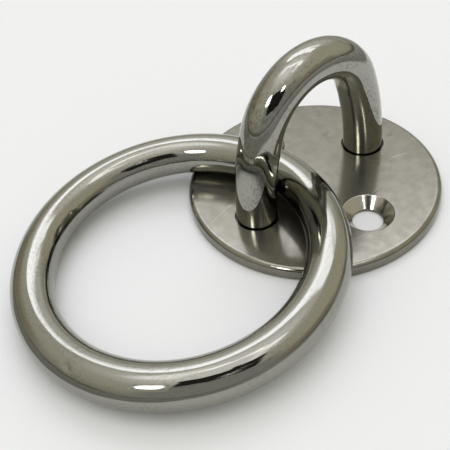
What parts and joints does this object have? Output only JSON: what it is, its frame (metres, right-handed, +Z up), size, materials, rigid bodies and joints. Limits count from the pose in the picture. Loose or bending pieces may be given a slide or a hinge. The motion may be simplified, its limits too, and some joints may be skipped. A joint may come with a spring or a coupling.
{
  "type": "ring on plate",
  "caption": "Round base plate with a welded U-shaped staple and a loose ring threaded through it, a fixed point for tying off lines, hooks or shackles.",
  "frame": {"origin": "middle of the round plate, on its underside", "axes": "+Z up out of the plate; the staple stands in the XZ plane, with the leg that carries the ring on the -X side; the two screw holes lie on the Y axis; the ring lies down towards -X"},
  "size_m": [0.0894, 0.062, 0.0332],
  "materials": {
    "plate_steel": "tumbled and lightly polished stainless sheet, satin",
    "polished_rod": "polished stainless round bar",
    "weld_metal": "weld metal ground flush",
    "polished_ring": "polished stainless round bar"
  },
  "bodies": {
    "pad_eye": {"base_plate": "plate_steel", "staple": "polished_rod", "front_weld": "weld_metal", "rear_weld": "weld_metal"},
    "tie_ring": {"ring": "polished_ring"}
  },
  "joints": [
    {"name": "ring_fold", "type": "hinge", "parent": "pad_eye", "child": "tie_ring", "pos_m": [-0.00653, -0.00024, 0.00713], "axis": [0.0297, 0.9996, 0], "range_deg": [0, 185]}
  ]
}
